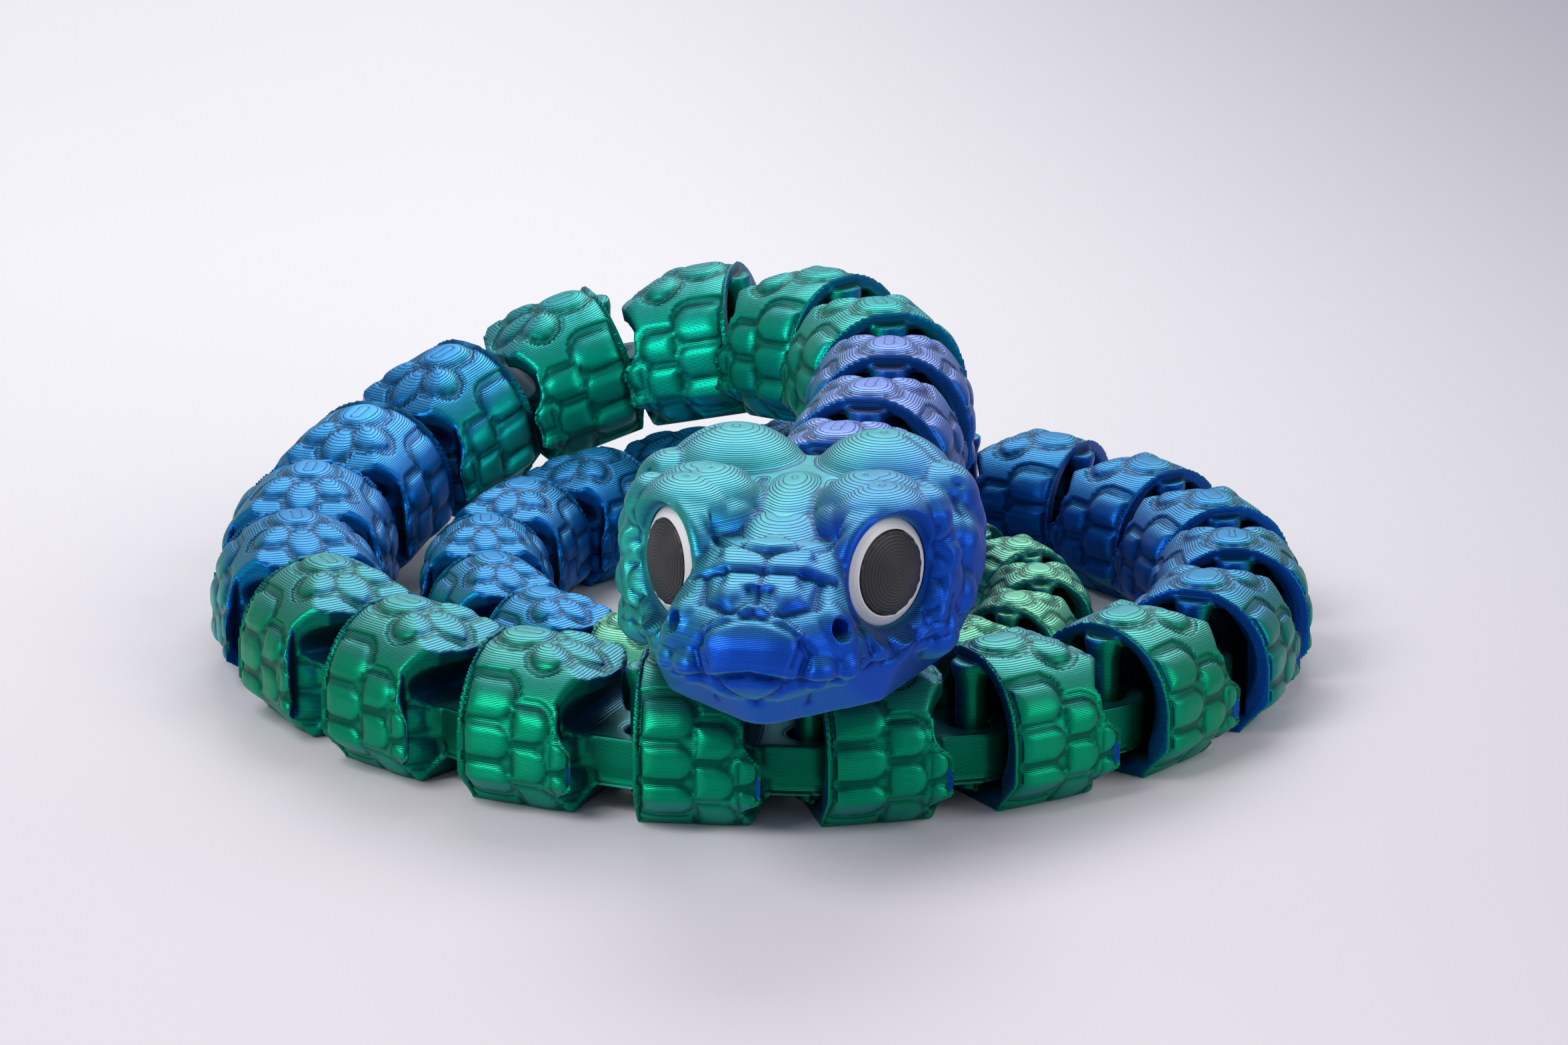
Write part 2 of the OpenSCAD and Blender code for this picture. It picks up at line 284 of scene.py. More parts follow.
def cut(base: Object, tool: Object) -> Object:
    """Cuts a tool, which is used up, out of a closed solid, and gives the solid back."""
    cutter = base.modifiers.new("cut", "BOOLEAN")
    cutter.operation = "DIFFERENCE"
    cutter.solver = "EXACT"
    cutter.object = tool
    settled(base)
    mesh = tool.data
    bpy.data.objects.remove(tool)
    bpy.data.meshes.remove(mesh)
    return base


def add_turned(
    form: BMesh, profile: list[tuple[float, float]], turn: Matrix, steps: int = 48
) -> None:
    """Adds a turned solid to a bmesh.

    Args:
        form: Bmesh to add to.
        profile: Radius and height of each point, from the axis round to the axis.
        turn: Where the solid's axis stands, along its own Z.
        steps: Faces around the axis.
    """
    verts = [form.verts.new(turn @ Vector((r, 0, z))) for r, z in profile]
    edges = [form.edges.new(pair) for pair in zip(verts, verts[1:])]
    bmesh.ops.spin(
        form,
        geom=verts + edges,
        cent=turn.translation,
        axis=turn.to_3x3() @ Vector((0, 0, 1)),
        angle=math.tau,
        steps=steps,
        use_merge=True,
    )
    bmesh.ops.remove_doubles(form, verts=form.verts, dist=POLE_WELD)
    bmesh.ops.recalc_face_normals(form, faces=form.faces)


def add_ball(form: BMesh, at: Vector, radii: Point, turn: Matrix) -> None:
    """Adds an ellipsoid to a bmesh."""
    place = Matrix.Translation(at) @ turn.to_4x4() @ Matrix.Diagonal((*radii, 1))
    bmesh.ops.create_uvsphere(form, u_segments=40, v_segments=24, radius=1, matrix=place)


def remeshed(thing: Object, voxel: float, soften: int) -> Object:
    """Fuses an object's closed shells into one mesh of even voxels and rounds its edges."""
    fuse = thing.modifiers.new("fuse", "REMESH")
    fuse.mode = "VOXEL"
    fuse.voxel_size = voxel
    fuse.adaptivity = 0
    relax = thing.modifiers.new("relax", "SMOOTH")
    relax.factor = 0.5
    relax.iterations = soften
    return settled(thing)


def cad_form(node: str, stand: Stand) -> BMesh:
    """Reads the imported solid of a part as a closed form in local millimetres."""
    form = bmesh.new()
    form.from_mesh(frame["nodes"][node].data)
    bmesh.ops.remove_doubles(form, verts=form.verts, dist=WELD)
    bmesh.ops.transform(form, matrix=stand.matrix.inverted(), verts=form.verts)
    return form


def pressed(
    node: str, stand: Stand, voxel: float, soften: int, relief: Callable[[Rows, Rows], Rows]
) -> Mesh:
    """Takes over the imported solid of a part, with soft edges and a relief.

    Args:
        node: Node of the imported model.
        stand: Frame of the part.
        voxel: Edge length of the new mesh.
        soften: Rounds of smoothing.
        relief: Gives each vertex's shift along its normal, from the places and the normals.

    Returns:
        A mesh in local millimetres.
    """
    body = remeshed(new_object(f"{node}_form", cad_form(node, stand)), voxel, soften)
    mesh = body.data
    co, normal = mesh_rows(mesh)
    set_rows(mesh, co + normal * relief(co, normal)[:, None])
    bpy.data.objects.remove(body)
    return mesh


# The link


@dataclass
class LinkForm:
    """One full-size body link around its own post, in millimetres, with domed scales.

    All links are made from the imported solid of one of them, the sample. The other sizes say where
    the solid's scales are: the end of the walls and of the beak, and the rows of the side scales.
    """

    chain: Chain
    sample: int = 12
    width: float = 23.2
    height: float = 21.0
    rim: float = 0.5
    wall_x: float = 16.13
    beak_x: float = 17.0
    row: float = 5.4
    low_row: float = 4.4
    top_share: float = 0.66
    hollow_r: float = 6.0
    pillow: float = 0.2
    pillow_width: float = 1.7
    crease: float = 0.12
    crease_width: float = 0.4
    front_round: float = 0.75
    front_end: float = 3.2
    back_round: float = 0.5
    back_from: float = 12.5
    back_reach: float = 3.6
    soften_mm: float = 0.9
    lean_from: float = 0.42
    lean_axis: Point = (0.3, -0.34, 0.2)

    @property
    def arch_r(self) -> float:
        """Radius of the arch."""
        return self.width / 2

    @property
    def arch_z(self) -> float:
        """Height of the arch's middle."""
        return self.height - self.arch_r

    @staticmethod
    def lobe(x: Rows, z: Rows, start: float, length: float, high: float) -> Rows:
        """Signed distance to a scale that is straight at one end and round at the other."""
        bow = np.hypot(np.maximum(x - start - length + high / 2, 0), z) - high / 2
        return np.maximum(bow, start - x)

    def side_gap(self, x: Rows, z: Rows) -> Rows:
        """Signed distance to the nearest scale of the sides, negative on a scale."""
        up = z - self.low_row
        rows = [self.lobe(x, up - k * self.row, 0.3, 7.0, 4.6) for k in range(3)]
        rows += [self.lobe(x, up - (k - 0.5) * self.row, 7.6, 5.0, 4.4) for k in range(3)]
        last = self.wall_x - 3.05
        rows += [self.lobe(x, up - k * (self.row - 1), last, 2.8, 3.6) for k in range(2)]
        return np.minimum.reduce(rows)

    def top_gap(self, x: Rows, y: Rows) -> Rows:
        """Signed distance to the nearest scale of the top, negative on a scale."""
        crown = np.hypot(x - 4.2, y) - 3.8
        pair = np.hypot(x - 9.8, np.abs(y) - 4.2) - 2.6
        leaf = np.hypot(x - self.beak_x + 4.7, np.abs(y) + 1.7) - 3.9
        return np.minimum.reduce([crown, pair, leaf])

    def skin(self, co: Rows, normal: Rows) -> tuple[Rows, Rows]:
        """Finds the outer skin and its scales.

        Args:
            co: Places of the vertices.
            normal: Their normals.

        Returns:
            1 on the outer skin and 0 elsewhere, and the signed distance to the nearest scale.
        """
        x, y, z = co.T
        spoke = np.stack([np.zeros_like(x), y, np.maximum(z - self.arch_z, 0)], -1)
        spoke /= np.maximum(np.linalg.norm(spoke, axis=1), 1e-6)[:, None]
        out = smooth(0.35, 0.65, (spoke * normal).sum(1))
        away = smooth(self.hollow_r, self.hollow_r + 1.2, np.hypot(y, z - self.arch_z))
        high = z > self.arch_z + self.top_share * self.arch_r
        gap = np.minimum(self.side_gap(x, z), np.where(high, self.top_gap(x, y), FAR))
        return out * away * (x > 0.1 - self.rim), gap

    def relief(self, co: Rows, normal: Rows) -> Rows:
        """How far each vertex sinks so that the scales turn into pillows and the ends are round."""
        skin, gap = self.skin(co, normal)
        x = co[:, 0]
        pillow = self.pillow * (1 - smooth(0.0, -self.pillow_width, gap)) * (gap < 0.9)
        crease = self.crease * np.exp(-((gap / self.crease_width) ** 2))
        front_reach = self.front_end + self.rim
        front = self.front_round * np.clip((self.front_end - x) / front_reach, 0, 1) ** 2
        back = self.back_round * np.clip((x - self.back_from) / self.back_reach, 0, 1) ** 2
        return -skin * (pillow + crease + front + back)

    def build(self, grade: Grade) -> Mesh:
        """Meshes one link in local millimetres, as finely as the grade says."""
        soften = max(1, round(self.soften_mm / grade.value))
        stand = self.chain.link(self.sample)
        return pressed(f"link_{self.sample:02d}", stand, grade.value, soften, self.relief)

    def tint(self, mesh: Mesh, side: int = -1) -> None:
        """Keeps which colour shows at each vertex, and where painted shade goes: in the creases,
        along the gaps between scales, and on the inner surfaces round the axis.

        Args:
            mesh: Mesh of a link in local millimetres.
            side: Side that shows the first colour, 1 for left and -1 for right.
        """
        co, normal = mesh_rows(mesh)
        skin, gap = self.skin(co, normal)
        lean = self.lean_from + (normal * (1, side, 1)) @ self.lean_axis
        x, y, z = co.T
        rim = smooth(0.4, 0.9, -normal[:, 0]) * (x < 1)
        set_mask(mesh, "lean", np.clip(lean + 0.6 * rim, 0, 1))
        # Painted shade: the creases found by their depth, and the gaps between the skin's scales, are
        # darkened.
        edges = 0.5 * skin * np.exp(-((gap / 0.35) ** 2))
        set_mask(mesh, "groove", np.clip(smooth(0.005, 0.05, cavity(mesh)) + edges, 0, 1))
        # Painted shade on the inner surfaces round the axis: the hollow, post and arm, darkest midway
        # along the link.
        near_axis = np.hypot(y, z - self.arch_z) < self.arch_r - 0.7
        deep = 0.5 + 0.5 * smooth(0.5, 4.0, x) * smooth(15.5, 12.5, x)
        set_mask(mesh, "inside_shade", deep * (1 - skin) * near_axis * smooth(-3.0, 0.5, x))


# The tail tip


@dataclass
class TipForm:
    """Tapered tip that ends the tail, around its own post and in full-link millimetres."""

    link: LinkForm
    low: float = 5.0
    axis_z: float = 8.0
    row: float = 5.2
    column: float = 8.2
    first_x: float = 3.6
    scale_half: tuple[float, float] = (3.6, 2.2)
    corner: float = 1.9
    relief_depth: float = 0.45

    def relief(self, co: Rows, normal: Rows) -> Rows:
        """How far each vertex sinks so that long scales stand out."""
        x, y, z = co.T
        arc = self.link.arch_r * np.arctan2(z - self.low, np.abs(y) + 1e-9)
        outer = smooth(0.1, 0.5, normal[:, 2] + np.abs(normal[:, 1]))
        outer = outer * (np.hypot(y, z - self.axis_z) > 3.4)
        gap = np.full(len(x), FAR)
        for row in range(4):
            for column in range(3):
                u = x - (self.first_x + self.column * (column + 0.5 * (row % 2)))
                v = arc - self.row * row - 0.6
                gap = np.minimum(gap, rounded_box(u, v, *self.scale_half, self.corner))
        return -outer * (self.relief_depth * smooth(-1.0, 0.4, gap))

    def build(self) -> Mesh:
        """Meshes the tip in local millimetres of a full link."""
        return pressed("tail_tip", self.link.chain.tip(), 0.5, 2, self.relief)


# The head


@dataclass(frozen=True)
class Lump:
    """An ellipsoid of the head: place, radii and turn about its own middle, on one side or both."""

    at: Point
    radii: Point
    yaw: float = 0.0
    pitch: float = 0.0

    def place(self, form: BMesh) -> None:
        """Adds the lump to a bmesh, and its twin where it stands off the middle."""
        forward, left, up = self.at
        for side in (1, -1) if left else (1,):
            yaw = Matrix.Rotation(-side * math.radians(self.yaw), 3, "Z")
            pitch = Matrix.Rotation(math.radians(self.pitch), 3, "Y")
            add_ball(form, Vector((-forward, side * left, up)), self.radii, yaw @ pitch)


@dataclass(frozen=True)
class Crease:
    """A sunken line on both sides of the head, along places in front of the neck, to the left and up.

    The places needn't lie on the surface: a distance towards the head's core counts a fifth.
    """

    line: tuple[Point, ...]
    depth: float
    width: float
    reach: float = 6.0
    core_share: float = 0.8

    def sink(self, place: Rows, out: Rows) -> Rows:
        """How far each vertex sinks.

        Args:
            place: Places of the vertices in front of the neck, to the side and up.
            out: Directions from the head's core to the vertices.

        Returns:
            Depths in millimetres.
        """
        depths = np.zeros(len(place))
        points = [np.array(point) for point in self.line]
        middle = np.mean(points, axis=0)
        radius = max(np.linalg.norm(point - middle) for point in points) + self.reach
        near = np.linalg.norm(place - middle, axis=1) < radius
        place, out = place[near], out[near]
        nearest = np.full(len(place), FAR)
        for a, b in zip(points, points[1:]):
            along = np.clip((place - a) @ (b - a) / ((b - a) @ (b - a)), 0, 1)
            offset = place - a - along[:, None] * (b - a)
            offset -= self.core_share * (offset * out).sum(1)[:, None] * out
            nearest = np.minimum(nearest, np.linalg.norm(offset, axis=1))
        depths[near] = self.depth * np.exp(-((nearest / self.width) ** 2))
        return depths


@dataclass
class HeadForm:
    """Sculpted head around the first post, in millimetres, looking along -X."""

    chain: Chain
    voxel: float = 0.36
    soften: int = 4
    gaze: float = 54.0
    gaze_up: float = 3.0
    eye_r: float = 7.0
    eye_at: Point = (40.3, 13.4, 16.1)
    glue: float = 0.15
    nostril_at: Point = (54.0, 8.4, 12.9)
    nostril_yaw: float = 48.0
    nostril_tilt: float = 78.0
    core: tuple[float, float] = (12.0, 46.0)
    core_z: float = 8.0
    crease_share: float = 0.6
    crease_most: float = 0.9

    def lumps(self) -> list[Lump]:
        """The ellipsoids that stand out from the head's plain form."""
        cheeks = [
            Lump((19.0, 17.4, 19.0), (5.6, 5.0, 5.2)),
            Lump((17.0, 17.6, 12.0), (6.4, 5.4, 5.6)),
            Lump((25.0, 18.8, 15.6), (4.6, 4.6, 4.4)),
            Lump((27.5, 18.8, 9.6), (5.0, 4.5, 4.4)),
            Lump((33.0, 17.8, 6.6), (4.6, 4.2, 4.0), yaw=20),
        ]
        sockets = [
            Lump((32.5, 17.6, 22.0), (3.4, 3.0, 3.0)),
            Lump((31.5, 18.6, 18.4), (2.9, 2.6, 2.5)),
            Lump((32.5, 18.6, 14.8), (2.8, 2.6, 2.4)),
            Lump((34.5, 17.6, 11.4), (2.8, 2.6, 2.4)),
            Lump((37.5, 15.4, 8.8), (3.0, 2.6, 2.2), yaw=30),
        ]
        brows = [
            Lump((33.0, 9.8, 19.8), (8.6, 6.6, 6.6), yaw=25),
            Lump((38.0, 8.4, 19.4), (6.6, 3.8, 4.2), yaw=38, pitch=-12),
            Lump((36.5, 12.4, 20.6), (6.2, 7.2, 5.6), yaw=50),
            Lump((29.5, 0.0, 18.2), (11.0, 5.4, 5.7), pitch=-7),
            Lump((37.5, 0.0, 16.6), (9.5, 7.0, 5.2), pitch=-7),
            Lump((45.2, 4.4, 17.2), (2.2, 4.8, 2.9), yaw=-28),
        ]
        nose = [
            Lump((48.8, 4.5, 15.8), (3.3, 3.5, 4.1), yaw=-15),
            Lump((53.4, 3.3, 14.5), (3.9, 2.9, 3.7), pitch=-20),
            Lump((53.6, 8.0, 12.2), (4.4, 3.4, 4.2), yaw=30),
            Lump((57.2, 0.0, 10.9), (5.2, 6.4, 4.6)),
            Lump((57.6, 3.6, 9.0), (4.2, 4.0, 3.2), yaw=20),
            Lump((57.6, 7.4, 8.6), (3.0, 3.0, 2.6), yaw=35),
            Lump((54.2, 10.0, 8.4), (3.4, 2.8, 2.8), yaw=30),
        ]
        lips = [
            Lump((51.0 - 5.2 * k, 10.2 + 2.2 * k, 8.8 - 0.5 * k), (3.1, 2.8, 3.3), yaw=24)
            for k in range(4)
        ]
        return cheeks + sockets + brows + nose + lips

    def creases(self) -> list[Crease]:
        """The grooves between the head's scales and plates, and the line of the mouth."""
        plate = ((25.0, 4.4, 22.6), (31.0, 4.8, 22.4), (38.3, 7.9, 20.6), (41.6, 8.6, 19.0))
        brow = [
            Crease(((41.6, 9.0, 18.4), (45.5, 5.2, 19.9), (48.2, 0.0, 20.4)), 1.5, 0.8),
            Crease(plate, 0.8, 0.7),
        ]
        bump = ((51.2, 7.2, 17.6), (55.2, 6.8, 15.8), (57.8, 3.4, 15.6), (58.6, 0.0, 15.6))
        snout = ((58.6, 0.0, 15.6), (59.0, 5.0, 13.6), (59.4, 7.0, 11.0), (60.4, 6.2, 8.6))
        nose = [
            Crease(((48.2, 0.0, 20.4), (53.0, 0.0, 18.6), (57.6, 0.0, 15.9)), 0.7, 0.6),
            Crease(((51.6, 0.0, 19.2), (51.4, 4.4, 18.6), (50.0, 8.4, 17.0)), 1.0, 0.65),
            Crease(bump, 1.0, 0.65),
            Crease(snout, 0.9, 0.6),
            Crease(((48.4, 9.8, 16.2), (52.4, 11.8, 11.4), (53.4, 12.0, 8.6)), 0.9, 0.8),
        ]
        jaw = (
            (62.4, 0.0, 8.8),
            (61.2, 4.1, 7.8),
            (58.0, 8.4, 7.4),
            (52.0, 12.0, 6.4),
            (46.0, 14.6, 6.0),
            (41.6, 16.4, 6.6),
            (34.0, 20.0, 6.8),
            (27.0, 21.0, 7.2),
        )
        mouth = [Crease(jaw, 1.5, 0.6)]
        lips = []
        for k in range(5):
            low = (54.4 - 4.6 * k, 11.2 + 2.2 * k, 6.8)
            high = (52.6 - 4.6 * k, 12.0 + 2.2 * k, 11.2)
            lips.append(Crease((low, high), 0.7, 0.6))
        chin = [
            Crease(((61.0, 4.4, 7.4), (59.0, 0.0, 2.6)), 1.0, 0.6),
            Crease(((57.4, 8.6, 6.8), (54.0, 7.0, 1.6)), 0.8, 0.6),
        ]
        crown = [
            Crease(((22.0, 19.0, 21.5), (28.5, 20.0, 15.5), (31.0, 20.0, 8.5)), 0.8, 0.8),
            Crease(((13.5, 17.0, 21.0), (20.0, 21.0, 14.5), (22.0, 21.5, 8.0)), 0.8, 0.8),
            Crease(((16.0, 12.5, 26.0), (19.0, 17.5, 22.0)), 0.6, 0.8),
        ]
        return brow + nose + mouth + lips + chin + crown

    def at_eye(self, side: int) -> Matrix:
        """Frame whose X looks out of the eye on side 1 or -1."""
        forward, left, up = self.eye_at
        yaw = Matrix.Rotation(math.radians(180 - side * self.gaze), 4, "Z")
        pitch = Matrix.Rotation(math.radians(-self.gaze_up), 4, "Y")
        return Matrix.Translation((-forward, side * left, up)) @ yaw @ pitch

    def rooms(self) -> Object:
        """Rooms for the eyes, which open outwards like bowls, and the nostrils."""
        rim = self.eye_r + self.glue
        lid = self.eye_r - self.glue
        floor = -3.0 - self.glue
        bowl = [(0, floor), (rim - 2.4, floor), (rim, -0.6), (rim, -0.3), (lid, 0.5)]
        bowl += [(lid + 0.5, 1.0), (rim + 1.6, 3.4), (rim + 8, 14), (0, 14)]
        nostril = [(0, 0), (1.2, 0), (1.25, 2.4), (3.0, 5), (0, 5)]
        forward, left, up = self.nostril_at
        form = bmesh.new()
        for side in (1, -1):
            add_turned(form, bowl, self.at_eye(side) @ Z_TO_X)
            yaw = Matrix.Rotation(math.radians(180 - side * self.nostril_yaw), 4, "Z")
            tilt = Matrix.Rotation(math.radians(self.nostril_tilt), 4, "Y")
            place = Matrix.Translation((-forward, side * left, up))
            add_turned(form, nostril, place @ yaw @ tilt, steps=32)
        return new_object("head_rooms", form)

    def sink(self, co: Rows) -> Rows:
        """How far each vertex sinks into the creases."""
        place = np.stack([-co[:, 0], np.abs(co[:, 1]), co[:, 2]], -1)
        along = np.clip(place[:, 0], *self.core)
        core = np.stack([along, np.zeros(len(co)), np.full(len(co), self.core_z)], -1)
        out = (place - core) / np.linalg.norm(place - core, axis=1)[:, None]
        sunk = sum(crease.sink(place, out) for crease in self.creases())
        return np.minimum(self.crease_share * sunk, self.crease_most)

    def build(self) -> Mesh:
        """Meshes the head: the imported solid, its lumps and eyelids in one skin, creased and cut."""
        form = cad_form("head", self.chain.head())
        for lump in self.lumps():
            lump.place(form)
        lid = [(6.5, -2.5), (8.6, -2.5), (8.5, 0.3), (7.9, 0.9), (7.1, 0.9), (6.5, 0.4)]
        for side in (1, -1):
            add_turned(form, [*lid, lid[0]], self.at_eye(side) @ Z_TO_X)
        head = remeshed(new_object("head_form", form), self.voxel, self.soften)
        co, normal = mesh_rows(head.data)
        set_rows(head.data, co - normal * self.sink(co)[:, None])
        mesh = cut(head, self.rooms()).data
        bpy.data.objects.remove(head)
        return mesh


# The eyes


@dataclass
class EyeForm:
    """White domed eye and its dark pupil."""

    head: HeadForm
    curve: float = 11.0
    depth: float = 3.0
    pupil_r: float = 5.4
    pupil_depth: float = 1.5
    fit: float = 0.12
    line: float = 0.42
    steps: int = 24

    def dome(self, r: float) -> float:
        """How far the dome stands out from the eye's edge at a radius r."""
        return math.sqrt(self.curve**2 - r * r) - math.sqrt(self.curve**2 - self.head.eye_r**2)

    def white(self, side: int) -> BMesh:
        """Turned body of the white, with a seat for the pupil."""
        seat = self.dome(self.pupil_r) - self.pupil_depth
        hole = self.pupil_r + self.fit
        rim = self.head.eye_r
        profile = [(0, -self.depth), (rim - 2.6, -self.depth), (rim, -0.6), (rim, -0.15)]
        for k in range(9):
            r = rim - 0.05 - (rim - 0.05 - hole) * k / 8
            profile.append((r, self.dome(r)))
        profile += [(hole, seat), (0, seat)]
        form = bmesh.new()
        add_turned(form, profile, self.head.at_eye(side) @ Z_TO_X, steps=96)
        return form

    def rings(self, mesh: Mesh, side: int) -> Rows:
        """Places for the printed lines, which run in rings around the eye's middle."""
        co, _ = mesh_rows(mesh)
        local = moved(co, self.head.at_eye(side).inverted())
        out = np.hypot(local[:, 1], local[:, 2])
        return np.stack([local[:, 1], local[:, 2], out * LAYER / self.line], -1)

    def pupil(self, side: int) -> BMesh:
        """Turned body of the pupil, domed like the white and a little uneven at its edge."""
        low = self.dome(self.pupil_r) - self.pupil_depth + self.head.glue
        profile = [(0, low), (self.pupil_r - 0.1, low), (self.pupil_r, low + 0.15)]
        for k in range(self.steps):
            r = self.pupil_r * (1 - k / self.steps)
            profile.append((r, self.dome(r)))
        profile.append((0, self.dome(0)))
        form = bmesh.new()
        add_turned(form, profile, Z_TO_X, steps=128)
        for vert in form.verts:
            angle = math.atan2(vert.co.y, vert.co.z)
            at_edge = 5 * max(0.0, math.hypot(vert.co.y, vert.co.z) / self.pupil_r - 0.8)
            ragged = 0.07 * math.sin(17 * angle) - 0.06
            ragged += 0.05 * math.sin(29 * angle + 1) + 0.05 * math.sin(7 * angle + side)
            pull = 1 + ragged / self.pupil_r * at_edge
            vert.co.y *= pull
            vert.co.z *= pull
        bmesh.ops.transform(form, matrix=self.head.at_eye(side), verts=form.verts)
        return form


# Finishes


@dataclass(frozen=True)
class Silk:
    """Two-colour silk filament: one colour on one side of each line, another on the other side."""

    main: Colour
    second: Colour
    # Colour of the painted highlight on level tops.
    top_highlight: Colour
    # Dark colour of the painted shade in creases, layer edges and hollows.
    groove: Colour
    second_from: float
    roughness: float = 0.34
    blend: float = 0.22


class Nodes:
    """A node tree with short ways to add and link nodes."""

    def __init__(self, tree: NodeTree) -> None:
        """Takes over a tree and empties it."""
        self.tree = tree
        tree.nodes.clear()

    def add(self, kind: str, **settings: object) -> Node:
        """Adds a node with its settings."""
        node = self.tree.nodes.new(kind)
        for key, value in settings.items():
            setattr(node, key, value)
        return node

    def link(self, out: NodeSocket, into: NodeSocket) -> None:
        """Links two sockets."""
        self.tree.links.new(out, into)

    def feed(self, at: NodeSocket, value: object) -> None:
        """Links a socket to an input, or sets the input to a number or a colour."""
        if isinstance(value, NodeSocket):
            self.link(value, at)
        else:
            at.default_value = (*value, 1.0) if isinstance(value, tuple) else value

    def math(self, how: str, *values: object) -> NodeSocket:
        """Adds a Math node on sockets or numbers and gives its result."""
        node = self.add("ShaderNodeMath", operation=how)
        for at, value in zip(node.inputs, values):
            self.feed(at, value)
        return node.outputs[0]

    def ease(self, value: NodeSocket, low: float, high: float) -> NodeSocket:
        """Eases a value from 0 at low to 1 at high."""
        node = self.add("ShaderNodeMapRange", interpolation_type="SMOOTHSTEP")
        self.link(value, node.inputs["Value"])
        node.inputs["From Min"].default_value = low
        node.inputs["From Max"].default_value = high
        return node.outputs["Result"]

    def mix(self, share: object, a: object, b: object) -> NodeSocket:
        """Mixes two colours, each a socket or a colour."""
        node = self.add("ShaderNodeMix", data_type="RGBA")
        for at, value in ((0, share), (6, a), (7, b)):
            self.feed(node.inputs[at], value)
        return node.outputs[2]

    def attribute(self, name: str, out: str = "Fac") -> NodeSocket:
        """Reads one of a mesh's own attributes."""
        return self.add("ShaderNodeAttribute", attribute_name=name).outputs[out]


def surface(name: str) -> tuple[Material, Nodes, Node]:
    """Starts a material: gives its nodes too, and the shader that is joined to its output."""
    material = bpy.data.materials.new(name)
    material.use_nodes = True
    nodes = Nodes(material.node_tree)
    shader = nodes.add("ShaderNodeBsdfPrincipled")
    output = nodes.add("ShaderNodeOutputMaterial")
    nodes.link(shader.outputs[0], output.inputs["Surface"])
    return material, nodes, shader


class LayerLines:
    """Node group of the print's layers: rounded line ends on walls, wider steps on slopes, and a mask
    for painted shadow lines along the layer edges.
    """

    # Distances from a layer edge, in millimetres, at which its painted shadow line starts and is
    # full.
    edge_shade_from: float = 0.11
    edge_shade_full: float = 0.03
    bead_height: float = 0.2
    wobble_height: float = 0.06
    least_slope: float = 0.0004

    def __init__(self) -> None:
        """Builds the group once."""
        self.group = bpy.data.node_groups.new("layer_lines", "ShaderNodeTree")
        face = self.group.interface
        face.new_socket(name="Place", in_out="INPUT", socket_type="NodeSocketVector")
        face.new_socket(name="Flatness", in_out="INPUT", socket_type="NodeSocketFloat")
        for name in ("Height", "EdgeShade", "Streak"):
            face.new_socket(name=name, in_out="OUTPUT", socket_type="NodeSocketFloat")
        self.nodes = Nodes(self.group)
        given = self.nodes.add("NodeGroupInput")
        result = self.nodes.add("NodeGroupOutput")
        place, flatness = given.outputs["Place"], given.outputs["Flatness"]
        turns = self.turns(place)
        height, edge = self.profile(turns, flatness)
        self.nodes.link(height, result.inputs["Height"])
        self.nodes.link(edge, result.inputs["EdgeShade"])
        self.nodes.link(self.streak(place, turns), result.inputs["Streak"])

    def noise(self, scale: float, detail: float, **settings: object) -> Node:
        """Adds a noise texture."""
        node = self.nodes.add("ShaderNodeTexNoise", **settings)
        node.inputs["Scale"].default_value = scale
        node.inputs["Detail"].default_value = detail
        return node

    def turns(self, place: NodeSocket) -> NodeSocket:
        """Number of layers below a place, with a slight wobble."""
        nodes = self.nodes
        parts = nodes.add("ShaderNodeSeparateXYZ")
        nodes.link(place, parts.inputs[0])
        wobble = self.noise(0.35, 2.0)
        nodes.link(place, wobble.inputs["Vector"])
        wave = wobble.outputs["Fac"]
        shift = nodes.math("MULTIPLY_ADD", wave, self.wobble_height, parts.outputs["Z"])
        return nodes.math("DIVIDE", shift, LAYER)

    def profile(self, turns: NodeSocket, flatness: NodeSocket) -> tuple[NodeSocket, NodeSocket]:
        """Height of the surface in its layer, and a mask of the painted shadow lines at the edges
        between layers.
        """
        nodes = self.nodes
        phase = nodes.math("FRACT", turns)
        rest = nodes.math("SUBTRACT", 1.0, phase)
        upright = nodes.math("MULTIPLY_ADD", nodes.math("MULTIPLY", flatness, -1.0), flatness, 1.0)
        slope = nodes.math("SQRT", nodes.math("MAXIMUM", upright, self.least_slope))
        nearest = nodes.math("MULTIPLY", nodes.math("MINIMUM", phase, rest), LAYER)
        away = nodes.math("DIVIDE", nearest, slope)
        edge = nodes.ease(away, self.edge_shade_from, self.edge_shade_full)
        off = nodes.math("ABSOLUTE", nodes.math("MULTIPLY_ADD", phase, 2.0, -1.0))
        bead = nodes.math("SUBTRACT", 1.0, nodes.math("POWER", off, 4.0))
        step = nodes.math("MULTIPLY", rest, flatness)
        height = nodes.math("ADD", nodes.math("MULTIPLY", bead, self.bead_height), step)
        return height, edge

    def streak(self, place: NodeSocket, turns: NodeSocket) -> NodeSocket:
        """Value around one half that changes from layer to layer and slowly along each layer."""
        nodes = self.nodes
        lines = self.noise(0.83, 1.0, noise_dimensions="1D")
        nodes.link(nodes.math("FLOOR", turns), lines.inputs["W"])
        stretched = nodes.add("ShaderNodeVectorMath", operation="MULTIPLY")
        nodes.link(place, stretched.inputs[0])
        stretched.inputs[1].default_value = (0.25, 0.25, 5.0)
        streaks = self.noise(0.7, 3.0)
        nodes.link(stretched.outputs[0], streaks.inputs["Vector"])
        halves = [nodes.math("MULTIPLY", noise.outputs["Fac"], 0.5) for noise in (lines, streaks)]
        return nodes.math("ADD", *halves)


@dataclass
class Dressing:
    """A material in the making: its nodes, its shader and the print's layers."""

    material: Material
    nodes: Nodes
    shader: Node
    layers: Node


